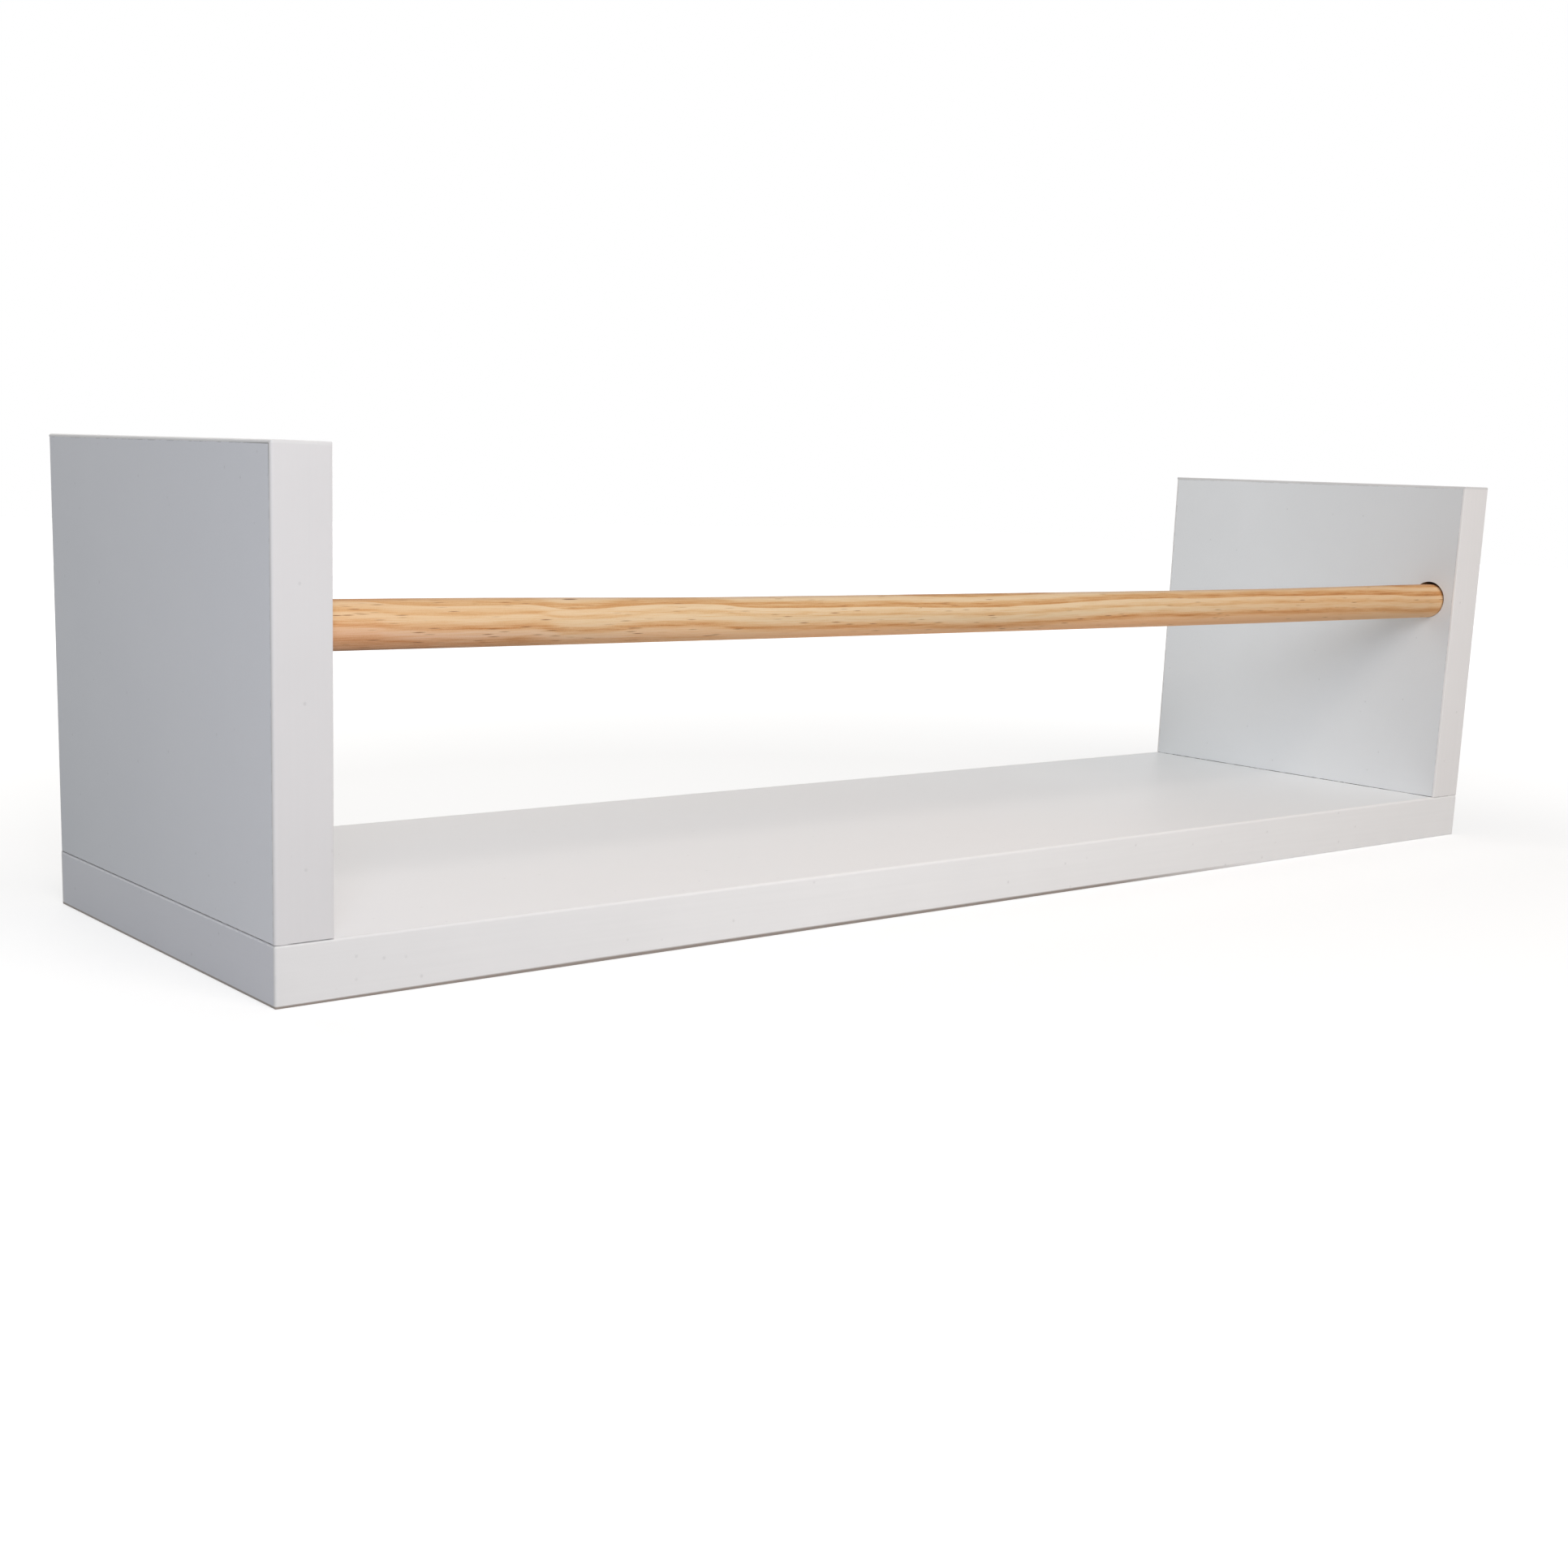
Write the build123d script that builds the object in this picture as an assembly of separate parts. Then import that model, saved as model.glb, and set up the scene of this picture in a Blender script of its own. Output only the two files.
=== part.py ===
from build123d import *
import os

# Wall shelf with a book rail. A ledge of white melamine-faced MDF carries two upright
# end boards, and a round pine rail lies loose in a blind socket in each of them. Every
# cut edge that shows has a thin plastic edge band. Each end board is located on the
# ledge by two wooden dowels and pulled down by two chipboard screws from below, and a
# steel keyhole hanger is let into its back edge.
#
# All sizes are in millimetres. X runs along the shelf, Y from the room to the wall, Z
# up. The origin is on the underside, at the middle of the length and of the depth.

# Boards, over their edge bands
shelf_length = 480.0
shelf_depth = 131.0
board_thickness = 15.0
end_height = 113.0  # from the top of the ledge to the top of an end board
joint_arris = 0.2  # eased edge along the foot of an end board

# Edge bands
band_thickness = 0.8
band_round = 0.7

# Rail and its sockets
rail_diameter = 12.0
rail_end_chamfer = 0.6
rail_end_play = 1.0  # free length at each end, inside the socket
rail_seat_gap = 0.06  # left under the rail, where it lies in the socket
socket_diameter = 13.0
socket_floor = 5.0  # board left behind the socket
socket_setback = 10.7  # from the front of the end board to the socket's axis
socket_height = 72.0  # from the top of the ledge to the socket's axis

# Chipboard screws through the ledge into the end boards
joint_screw_length = 45.0
joint_screw_diameter = 4.0
joint_screw_head = 8.0
joint_screw_sink = 0.3
joint_screw_hole = 4.6  # clearance hole in the ledge
joint_screw_inset = 22.0  # from the front and back of the shelf
joint_cross_width = 4.0
joint_cross_depth = 1.4

# Wooden locating dowels between the ledge and the end boards
dowel_diameter = 6.0
dowel_length = 30.0
dowel_in_ledge = 9.0
dowel_glue_room = 1.0  # beyond each end of the dowel
dowel_inset = 46.0  # from the front and back of the shelf

# Keyhole hangers
hanger_length = 44.0
hanger_width = 11.0
hanger_thickness = 1.2
hanger_drop = 30.0  # from the top of the end board to the middle of the plate
hanger_recess_gap = 0.15  # around the plate, where it is let in
keyhole_entry = 8.0
keyhole_neck = 4.4
keyhole_travel = 9.0  # from the middle of the entry to the end of the neck
pocket_width = 9.0
pocket_depth = 7.0
hanger_screw_spacing = 34.0
hanger_screw_length = 14.0
hanger_screw_diameter = 2.6
hanger_screw_head = 5.0
hanger_cross_width = 2.4
hanger_cross_depth = 0.8

# All screws
cross_blade_share = 0.2  # of the screw's own diameter
screw_point_share = 1.0  # of the screw's own diameter
pilot_room = 1.0  # drilled beyond the screw's point

# Derived places
front_y = -shelf_depth / 2
back_y = shelf_depth / 2
ledge_top = board_thickness
end_top = ledge_top + end_height
end_middle_x = (shelf_length - board_thickness) / 2
end_inner_x = shelf_length / 2 - board_thickness
core_depth = shelf_depth - 2 * band_thickness

socket_y = front_y + socket_setback
socket_z = ledge_top + socket_height
socket_depth = board_thickness - socket_floor
rail_z = socket_z - (socket_diameter - rail_diameter) / 2 + rail_seat_gap
rail_length = 2 * (end_inner_x + socket_depth - rail_end_play)

joint_screw_y = back_y - joint_screw_inset
dowel_y = back_y - dowel_inset
hanger_z = end_top - hanger_drop


# --- Helpers -------------------------------------------------------------------------


def mirrored(shape):
    """The same piece at the left end of the shelf."""
    return mirror(shape, about=Plane.YZ)


def edge_band(length, middle, along, outward, rounded_ends):
    """A strip as wide as the board is thick, its inner face glued on at `middle`."""
    strip = Box(length, board_thickness, band_thickness, align=(Align.CENTER, Align.CENTER, Align.MIN))
    outer_edges = strip.faces().sort_by(Axis.Z)[-1].edges()
    if not rounded_ends:
        outer_edges = outer_edges.filter_by(Axis.X)
    strip = fillet(outer_edges, min(band_round, 0.95 * band_thickness))
    return Plane(origin=middle, x_dir=along, z_dir=outward) * strip


def both_ends(piece):
    """The piece and its mirror image, as one group of separate solids."""
    return Compound([piece, mirrored(piece)])


def screw_body(length, diameter, head):
    """A countersunk screw without its cross recess, head face up at Z = 0, point down."""
    radius, head_radius = diameter / 2, head / 2
    cone = head_radius - radius
    point = screw_point_share * diameter
    half_section = Polyline(
        (0, 0),
        (head_radius, 0),
        (radius, -cone),
        (radius, point - length),
        (0, -length),
        close=True,
    )
    return revolve(Plane.XZ * make_face(half_section), axis=Axis.Z)


def countersunk_screw(length, diameter, head, cross_width, cross_depth):
    """The screw itself, with its cross recess."""
    blade = Box(
        cross_width,
        cross_blade_share * diameter,
        cross_depth,
        align=(Align.CENTER, Align.CENTER, Align.MAX),
    )
    return screw_body(length, diameter, head) - blade - Rot(Z=90) * blade


def screw_cutter(length, diameter, head):
    """The screw's own shape, with a pilot hole that runs a little past its point."""
    pilot = Cylinder(diameter / 2, length + pilot_room, align=(Align.CENTER, Align.CENTER, Align.MAX))
    return screw_body(length, diameter, head) + pilot


def under_ledge(shape, facing):
    """A screw at the right end's front (facing -1) or back (1), driven up from below."""
    return Pos(end_middle_x, facing * joint_screw_y, joint_screw_sink) * Rot(X=180) * shape


def on_ledge(shape, facing):
    """A dowel at the right end's front (facing -1) or back (1), measured from the ledge's top."""
    return Pos(end_middle_x, facing * dowel_y, ledge_top) * shape


def hanger_plane():
    """The plane of the right hanger's outer face: its Y is up, and its Z points to the wall."""
    return Plane(origin=(end_middle_x, back_y, hanger_z), x_dir=(-1, 0, 0), z_dir=(0, 1, 0))


def on_hanger(shape, side):
    """A screw at the lower (side -1) or upper (1) hole of the right hanger."""
    return hanger_plane() * Pos(0, side * hanger_screw_spacing / 2) * shape


# --- Fasteners -----------------------------------------------------------------------


def joint_screw():
    return countersunk_screw(
        joint_screw_length,
        joint_screw_diameter,
        joint_screw_head,
        joint_cross_width,
        joint_cross_depth,
    )


def joint_screw_cutter():
    """What the screw needs: its own shape, and the short well above its sunk head."""
    well = Cylinder(joint_screw_head / 2, joint_screw_sink, align=(Align.CENTER, Align.CENTER, Align.MIN))
    return screw_cutter(joint_screw_length, joint_screw_diameter, joint_screw_head) + well


def hanger_screw():
    return countersunk_screw(
        hanger_screw_length,
        hanger_screw_diameter,
        hanger_screw_head,
        hanger_cross_width,
        hanger_cross_depth,
    )


def hanger_screw_cutter():
    return screw_cutter(hanger_screw_length, hanger_screw_diameter, hanger_screw_head)


def locating_dowel():
    """A wooden dowel pin that stands in the ledge, its middle line on Z."""
    pin = Cylinder(dowel_diameter / 2, dowel_length, align=(Align.CENTER, Align.CENTER, Align.MIN))
    return Pos(Z=-dowel_in_ledge) * pin


def dowel_hole():
    """The hole drilled for a locating dowel, through the joint and past both of its ends."""
    hole = Cylinder(
        dowel_diameter / 2,
        dowel_length + 2 * dowel_glue_room,
        align=(Align.CENTER, Align.CENTER, Align.MIN),
    )
    return Pos(Z=-dowel_in_ledge - dowel_glue_room) * hole


# --- Keyhole hanger ------------------------------------------------------------------


def keyhole():
    """A round entry with a narrow neck above it, centred on the plate."""
    entry = Pos(0, -keyhole_travel / 2) * Circle(keyhole_entry / 2)
    neck = SlotCenterToCenter(keyhole_travel, keyhole_neck, rotation=90)
    return entry + neck


def hanger_plate():
    outline = SlotOverall(hanger_length, hanger_width, rotation=90)
    plate = hanger_plane() * extrude(outline - keyhole(), -hanger_thickness)
    for side in (-1, 1):
        plate -= on_hanger(hanger_screw_cutter(), side)
    return plate


def hanger_recess():
    """What the board and its back band lose to the plate."""
    outline = SlotOverall(
        hanger_length + 2 * hanger_recess_gap,
        hanger_width + 2 * hanger_recess_gap,
        rotation=90,
    )
    return hanger_plane() * extrude(outline, -hanger_thickness)


def hanger_pocket():
    """Room behind the plate for the head of the wall screw."""
    outline = SlotCenterToCenter(keyhole_travel, pocket_width, rotation=90)
    return hanger_plane() * extrude(outline, -hanger_thickness - pocket_depth)


# --- Boards --------------------------------------------------------------------------


def shelf_board():
    """The ledge, drilled from below for the screws and from above for the dowels."""
    board = Box(
        shelf_length - 2 * band_thickness,
        core_depth,
        board_thickness,
        align=(Align.CENTER, Align.CENTER, Align.MIN),
    )
    clearance_hole = Cylinder(
        joint_screw_hole / 2,
        board_thickness,
        align=(Align.CENTER, Align.CENTER, Align.MAX),
    )
    for facing in (-1, 1):
        board -= both_ends(under_ledge(joint_screw_cutter() + clearance_hole, facing))
        board -= both_ends(on_ledge(dowel_hole(), facing))
    return board


def socket():
    """The blind hole for the right end of the rail, bored from the inner face."""
    bore = Cylinder(socket_diameter / 2, socket_depth, align=(Align.CENTER, Align.CENTER, Align.MIN))
    return Pos(end_inner_x, socket_y, socket_z) * Rot(Y=90) * bore


def end_board():
    """The right end board. It stands on the ledge, flush with the ledge's end band."""
    height = end_height - band_thickness
    board = Pos(end_middle_x, 0, ledge_top) * Box(
        board_thickness, core_depth, height, align=(Align.CENTER, Align.CENTER, Align.MIN)
    )
    foot = board.faces().sort_by(Axis.Z)[0]
    board = chamfer(foot.edges().filter_by(Axis.Y), joint_arris)
    for facing in (-1, 1):
        board -= under_ledge(joint_screw_cutter(), facing)
        board -= on_ledge(dowel_hole(), facing)
    for side in (-1, 1):
        board -= on_hanger(hanger_screw_cutter(), side)
    return board - socket() - hanger_recess() - hanger_pocket()


# --- Edge bands ----------------------------------------------------------------------


def shelf_long_band(facing):
    """The band along the front (facing -1) or back (facing 1). It covers the end bands' ends."""
    middle = (0, facing * core_depth / 2, board_thickness / 2)
    return edge_band(shelf_length, middle, (1, 0, 0), (0, facing, 0), rounded_ends=True)


def shelf_end_band():
    middle = (shelf_length / 2 - band_thickness, 0, board_thickness / 2)
    return edge_band(core_depth, middle, (0, 1, 0), (1, 0, 0), rounded_ends=False)


def end_upright_band(facing):
    """The band up the front or back edge of the right end board, under the top band."""
    height = end_height - band_thickness
    middle = (end_middle_x, facing * core_depth / 2, ledge_top + height / 2)
    strip = edge_band(height, middle, (0, 0, 1), (0, facing, 0), rounded_ends=False)
    foot_edge = strip.faces().sort_by(Axis.Z)[0].edges().sort_by(Axis.Y)[0 if facing < 0 else -1]
    return chamfer(foot_edge, joint_arris)


def end_back_band():
    return end_upright_band(1) - hanger_recess()


def end_top_band():
    """The band over the top of the right end board. It covers the upright bands' ends."""
    middle = (end_middle_x, 0, end_top - band_thickness)
    return edge_band(shelf_depth, middle, (0, 1, 0), (0, 0, 1), rounded_ends=True)


# --- Rail ----------------------------------------------------------------------------


def dowel_rail():
    """A plain pine rod. Thinner than its sockets, it lies on the bottom of both."""
    rod = Cylinder(rail_diameter / 2, rail_length)
    rod = chamfer(rod.edges().filter_by(GeomType.CIRCLE), rail_end_chamfer)
    return Pos(0, socket_y, rail_z) * Rot(Y=90) * rod


# --- Assembly ------------------------------------------------------------------------

parts = {
    "shelf_board": shelf_board(),
    "shelf_front_band": shelf_long_band(-1),
    "shelf_back_band": shelf_long_band(1),
    "dowel_rail": dowel_rail(),
    "front_joint_screws": both_ends(under_ledge(joint_screw(), -1)),
    "back_joint_screws": both_ends(under_ledge(joint_screw(), 1)),
    "front_locating_dowels": both_ends(on_ledge(locating_dowel(), -1)),
    "back_locating_dowels": both_ends(on_ledge(locating_dowel(), 1)),
    "hanger_plates": both_ends(hanger_plate()),
    "lower_hanger_screws": both_ends(on_hanger(hanger_screw(), -1)),
    "upper_hanger_screws": both_ends(on_hanger(hanger_screw(), 1)),
}

right_end = {
    "shelf_{}_band": shelf_end_band(),
    "{}_end_board": end_board(),
    "{}_end_front_band": end_upright_band(-1),
    "{}_end_back_band": end_back_band(),
    "{}_end_top_band": end_top_band(),
}
for name, piece in right_end.items():
    parts[name.format("right")] = piece
    parts[name.format("left")] = mirrored(piece)

os.makedirs("parts", exist_ok=True)
for name, piece in parts.items():
    export_step(piece, f"parts/{name}.step")
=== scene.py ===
import math

import bmesh
import bpy
from mathutils import Matrix, Vector, noise


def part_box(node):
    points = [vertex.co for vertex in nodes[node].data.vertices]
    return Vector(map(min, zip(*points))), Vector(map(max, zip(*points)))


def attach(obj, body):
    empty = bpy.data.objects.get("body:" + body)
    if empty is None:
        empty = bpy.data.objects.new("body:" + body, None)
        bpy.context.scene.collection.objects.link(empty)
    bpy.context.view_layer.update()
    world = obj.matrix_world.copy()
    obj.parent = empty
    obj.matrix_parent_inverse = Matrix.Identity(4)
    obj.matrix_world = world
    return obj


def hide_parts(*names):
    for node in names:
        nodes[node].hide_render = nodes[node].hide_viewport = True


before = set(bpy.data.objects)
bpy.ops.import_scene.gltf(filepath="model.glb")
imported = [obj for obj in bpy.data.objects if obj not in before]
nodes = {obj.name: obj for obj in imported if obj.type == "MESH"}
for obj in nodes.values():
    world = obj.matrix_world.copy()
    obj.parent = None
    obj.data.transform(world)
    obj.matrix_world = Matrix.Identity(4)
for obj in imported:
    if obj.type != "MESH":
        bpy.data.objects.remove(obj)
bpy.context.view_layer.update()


# ---- White boards ----
# The ledge and the two end boards are cut from fibreboard that is pressed between two
# sheets of white melamine paper. The ends stand on the ledge, screwed up from below, and
# a thin dark line of glue shows wherever an edge band meets a board.

MM = 0.001
# All boards are one white melamine. The left end's white is darkened and cooled as painted shade, the
# right end's lightened as painted light, and the ledge's right part turns to a painted cool light.
ledge_white = (0.9, 0.888, 0.893, 1)
ledge_right_cool_light = (0.88, 0.907, 0.93, 1)
left_end_shaded_white = (0.8, 0.812, 0.856, 1)
right_end_lit_white = (0.909, 0.93, 0.948, 1)
pearl_grey = (0.6, 0.6, 0.6, 1)
melamine_paper = 0.18 * MM
fibreboard_brown = (0.33, 0.21, 0.12, 1)
fibreboard_pale = (0.46, 0.32, 0.2, 1)
glue_line_width = 0.22 * MM
glue_grey = (0.2, 0.19, 0.19, 1)
# The foot line is a dark joint with painted shade of the seam where the ends stand on the ledge
foot_line_width = 0.16 * MM
foot_joint_and_shade = (0.055, 0.055, 0.06, 1)
worn_corner = (-65.0 * MM, 127.0 * MM)  # y and z of the left end's top front corner
worn_reach = 16.0 * MM
most_worn = 0.9
worn_glue_shows = 0.95
# Colours of painted shade, into which the whites turn where less light falls
painted_shade_cool = (0.33, 0.38, 0.41, 1)
painted_shade_grey = (0.4, 0.385, 0.385, 1)
no_line = 9.0  # a plane so far away that it draws nothing
board_pearl = 0.5 * MM
board_speck = 0.45 * MM
board_relief = 0.02 * MM
board_rough = (0.4, 0.47)
fibre_rough = 0.95
cloud_shade = 0.02
pearl_shows = 0.06
dust_shows = 0.22
foot_whole = 0.23
all_noise = (0.2, 0.8)  # the values of a noise texture lie between these
most_noise = (0.3, 0.7)
much_noise = (0.35, 0.65)

# How many of each there are to a metre
clouds_per_metre = 34.0
dust_per_metre = 150.0
line_gaps_per_metre = 420.0
line_patches_per_metre = 45.0
fibres_per_metre = 1500.0

ledge_low, ledge_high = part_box("shelf_board")
end_low, end_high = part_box("right_end_board")
ledge_middle_z = (ledge_low.z + ledge_high.z) / 2
end_middle_x = (end_low.x + end_high.x) / 2
half_board = (end_high.x - end_low.x) / 2


def put(tree, kind, inputs=None, **settings):
    """A shader node with its settings, each input given a value or linked to a socket."""
    made = tree.nodes.new("ShaderNode" + kind)
    for name, value in settings.items():
        setattr(made, name, value)
    for key, value in (inputs or {}).items():
        if isinstance(value, bpy.types.NodeSocket):
            tree.links.new(value, made.inputs[key])
        else:
            made.inputs[key].default_value = value
    return made


def work_out(tree, operation, *values):
    """The result of a Math node on these values or sockets."""
    return put(tree, "Math", dict(enumerate(values)), operation=operation).outputs[0]


def times(tree, first, second):
    """The two values or sockets multiplied."""
    return work_out(tree, "MULTIPLY", first, second)


def spread(tree, value, low, high, to_low=0.0, to_high=1.0):
    """A value stretched from low..high to to_low..to_high, and held inside it."""
    inputs = dict(enumerate((value, low, high, to_low, to_high)))
    return put(tree, "MapRange", inputs).outputs[0]


def split(tree, place):
    """The three coordinates of a place."""
    return put(tree, "SeparateXYZ", {0: place}).outputs


def clouds(tree, place, per_unit, detail):
    """Soft noise with so many clouds to a unit of place."""
    inputs = {"Vector": place, "Scale": per_unit, "Detail": detail}
    return put(tree, "TexNoise", inputs).outputs["Fac"]


def distance(tree, first, second):
    """How far away the point with these two coordinates is from zero."""
    both = put(tree, "CombineXYZ", {0: first, 1: second}).outputs[0]
    return put(tree, "VectorMath", {0: both}, operation="LENGTH").outputs["Value"]


def off_line(tree, across, y, z):
    """How far the point with these coordinates is from the line along X at y and z."""
    off_y = work_out(tree, "SUBTRACT", across[1], y)
    off_z = work_out(tree, "SUBTRACT", across[2], z)
    return distance(tree, off_y, off_z)


def off_plane(tree, coordinate, plane):
    """How far a coordinate is from a plane there, or from its twin on the minus side."""
    outward = work_out(tree, "ABSOLUTE", coordinate)
    return work_out(tree, "ABSOLUTE", work_out(tree, "SUBTRACT", outward, plane))


def blend_colour(tree, share, first, second, how="MIX"):
    """The first colour turning into the second as share goes from 0 to 1."""
    inputs = {0: share, 6: first, 7: second}
    return put(tree, "Mix", inputs, data_type="RGBA", blend_type=how).outputs[2]


def start_group(name, numbers, results):
    """A new node group that is given a Place and some numbers: its tree, inputs and results."""
    tree = bpy.data.node_groups.new(name, "ShaderNodeTree")
    tree.interface.new_socket("Place", in_out="INPUT", socket_type="NodeSocketVector")
    for way, sockets in (("INPUT", numbers), ("OUTPUT", results)):
        for socket in sockets:
            tree.interface.new_socket(socket, in_out=way, socket_type="NodeSocketFloat")
    return tree, tree.nodes.new("NodeGroupInput").outputs, tree.nodes.new("NodeGroupOutput").inputs


def use_group(tree, group, inputs):
    """That group's outputs, placed in a material with its own values."""
    return put(tree, "Group", inputs, node_tree=group).outputs


def start_finish(name, **constants):
    """A material's tree, its shader and the piece's own coordinates in metres."""
    finish = bpy.data.materials.new(name)
    finish.use_nodes = True
    tree = finish.node_tree
    shader = tree.nodes["Principled BSDF"]
    for socket, value in constants.items():
        shader.inputs[socket.replace("_", " ")].default_value = value
    place = put(tree, "TexCoord").outputs["Object"]
    return finish, tree, shader, place


def finish_off(tree, shader, colour, roughness, height, depth):
    """Gives the shader its colour, its roughness and a relief of that depth in metres."""
    bump = put(tree, "Bump", {"Height": height, "Strength": 1.0, "Distance": depth})
    tree.links.new(colour, shader.inputs["Base Color"])
    tree.links.new(roughness, shader.inputs["Roughness"])
    tree.links.new(bump.outputs[0], shader.inputs["Normal"])


def dress(node_name, finish):
    """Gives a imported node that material."""
    for material_slot in nodes[node_name].material_slots:
        material_slot.material = finish


def make_satin_skin():
    """The fine pearl and faint cloudiness of a pale satin surface."""
    tree, given, result = start_group(
        "satin_skin", ["Pearl Size", "Speck Size"], ["Cloud", "Pearl", "Speck"]
    )
    place = given["Place"]
    pearls_per_metre = work_out(tree, "DIVIDE", 1.0, given["Pearl Size"])
    dust = put(tree, "TexVoronoi", {"Vector": place, "Scale": dust_per_metre}).outputs["Distance"]
    speck_reach = times(tree, given["Speck Size"], dust_per_metre)
    tree.links.new(clouds(tree, place, clouds_per_metre, 3.0), result["Cloud"])
    tree.links.new(clouds(tree, place, pearls_per_metre, 2.0), result["Pearl"])
    tree.links.new(spread(tree, dust, 0.0, speck_reach, 1.0, 0.0), result["Speck"])
    return tree


def make_joint_line():
    """A thin broken line along |x| = X, |y| = Y and |z| = Z, even and unbroken at a Whole of 1."""
    tree, given, result = start_group("joint_line", ["X", "Y", "Z", "Width", "Whole"], ["Line"])
    place = given["Place"]
    gaps = [off_plane(tree, across, given[axis]) for across, axis in zip(split(tree, place), "XYZ")]
    nearest = work_out(tree, "MINIMUM", work_out(tree, "MINIMUM", gaps[0], gaps[1]), gaps[2])

    # The line breaks off in short gaps, more of them in some patches than in others
    grain = clouds(tree, place, line_gaps_per_metre, 4.0)
    patches = clouds(tree, place, line_patches_per_metre, 1.0)
    patches = spread(tree, patches, *much_noise, -0.3, 0.4)
    drawn = work_out(tree, "ADD", spread(tree, grain, 0.4, 0.6), patches)
    drawn = work_out(tree, "MULTIPLY_ADD", given["Whole"], 1.3, drawn)

    still_ragged = work_out(tree, "SUBTRACT", 1.0, given["Whole"])
    ragged = times(tree, spread(tree, grain, *most_noise, -0.3, 0.3), still_ragged)
    edge = times(tree, given["Width"], work_out(tree, "ADD", 1.0, ragged))
    inside = spread(tree, nearest, times(tree, edge, 0.6), edge, 1.0, 0.0)
    tree.links.new(times(tree, inside, spread(tree, drawn, 0.0, 1.0)), result["Line"])
    return tree


satin_skin = make_satin_skin()
joint_line = make_joint_line()


def line_along(tree, place, width, whole, planes):
    """How much such a line shows at a place. `planes` holds where it lies on which axes."""
    inputs = {"Place": place, "Width": width, "Whole": whole, "X": no_line, "Y": no_line, "Z": no_line}
    return use_group(tree, joint_line, {**inputs, **planes})["Line"]


def satin_white(tree, skin, paint, greyer):
    """That white, a little cloudy, greyer by a share that varies, and with dust in it."""
    shaded = [part * (1 - cloud_shade) for part in paint[:3]] + [1]
    white = blend_colour(tree, spread(tree, skin["Cloud"], *most_noise), shaded, paint)
    white = blend_colour(tree, greyer, white, pearl_grey)
    return blend_colour(tree, times(tree, skin["Speck"], dust_shows), white, glue_grey)


def wear_by_corner(tree, across):
    """How worn the board is, from nothing to the most right at its worn corner."""
    away = off_line(tree, across, *worn_corner)
    return spread(tree, away, 0.1 * worn_reach, worn_reach, most_worn, 0.0)


def board_finish(
    name, white_paper, through, middle, glue_planes, foot_planes, glue_shows, shades, worn=False
):
    """White melamine faces over brown fibreboard.

    `through` is the axis through the board. The planes say where its lines of glue and the
    lines at the feet of the ends lie, on which axes; the foot lines are dark joints with painted
    shade of the seam. Each of the `shades` is painted light and shade: it says between which
    places on which axes the white turns, by what share at most, and into which colour."""
    finish, tree, shader, place = start_finish(name, IOR=1.46, Specular_IOR_Level=0.4)
    across = split(tree, place)
    off_middle = off_plane(tree, across[through], middle)
    core = work_out(tree, "LESS_THAN", off_middle, half_board - melamine_paper)

    skin = use_group(
        tree, satin_skin, {"Place": place, "Pearl Size": board_pearl, "Speck Size": board_speck}
    )
    pearl = spread(tree, skin["Pearl"], *all_noise, 0.0, pearl_shows)
    white = satin_white(tree, skin, white_paper, pearl)
    # Each shade blends painted light and shade into the white
    for places, share, colour in shades:
        for axis, (start, full) in places.items():
            share = times(tree, share, spread(tree, across[axis], start, full))
        white = blend_colour(tree, share, white, colour)

    wear = wear_by_corner(tree, across) if worn else 0.0
    shows = spread(tree, wear, 0.0, most_worn, glue_shows, worn_glue_shows) if worn else glue_shows
    glue = line_along(tree, place, glue_line_width, wear, glue_planes)
    white = blend_colour(tree, times(tree, glue, shows), white, glue_grey)
    # The foot line: a dark joint with painted shade of the seam where an end stands on the ledge
    foot = line_along(tree, place, foot_line_width, foot_whole, foot_planes)
    above = work_out(tree, "GREATER_THAN", across[2], ledge_middle_z)
    white = blend_colour(tree, times(tree, foot, above), white, foot_joint_and_shade)

    fibres = clouds(tree, place, fibres_per_metre, 5.0)
    brown = blend_colour(tree, spread(tree, fibres, *much_noise), fibreboard_brown, fibreboard_pale)
    colour = blend_colour(tree, core, white, brown)
    satin = spread(tree, skin["Cloud"], *most_noise, *board_rough)
    roughness = spread(tree, core, 0.0, 1.0, satin, fibre_rough)
    height = put(tree, "Mix", {0: core, 2: skin["Pearl"], 3: fibres}).outputs[0]
    finish_off(tree, shader, colour, roughness, height, board_relief)
    return finish


ledge_finish = board_finish(
    "ledge_melamine",
    ledge_white,
    through=2,
    middle=ledge_middle_z,
    glue_planes={"X": ledge_high.x, "Y": ledge_high.y},
    foot_planes={"X": end_low.x},
    glue_shows=0.15,
    shades=[
        # Painted cool light over the ledge's right part
        ({0: (20.0 * MM, 190.0 * MM)}, 0.7, ledge_right_cool_light),
        # Painted shade in the back corner beside the right end
        ({0: (130.0 * MM, end_low.x), 1: (0.0, 40.0 * MM)}, 0.12, painted_shade_cool),
    ],
)
dress("shelf_board", ledge_finish)
# Painted shade, darker towards the back and the foot of the left end
left_shades = [
    ({1: (end_low.y, end_high.y), 2: (240.0 * MM, end_low.z)}, 0.36, painted_shade_cool),
]
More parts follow.
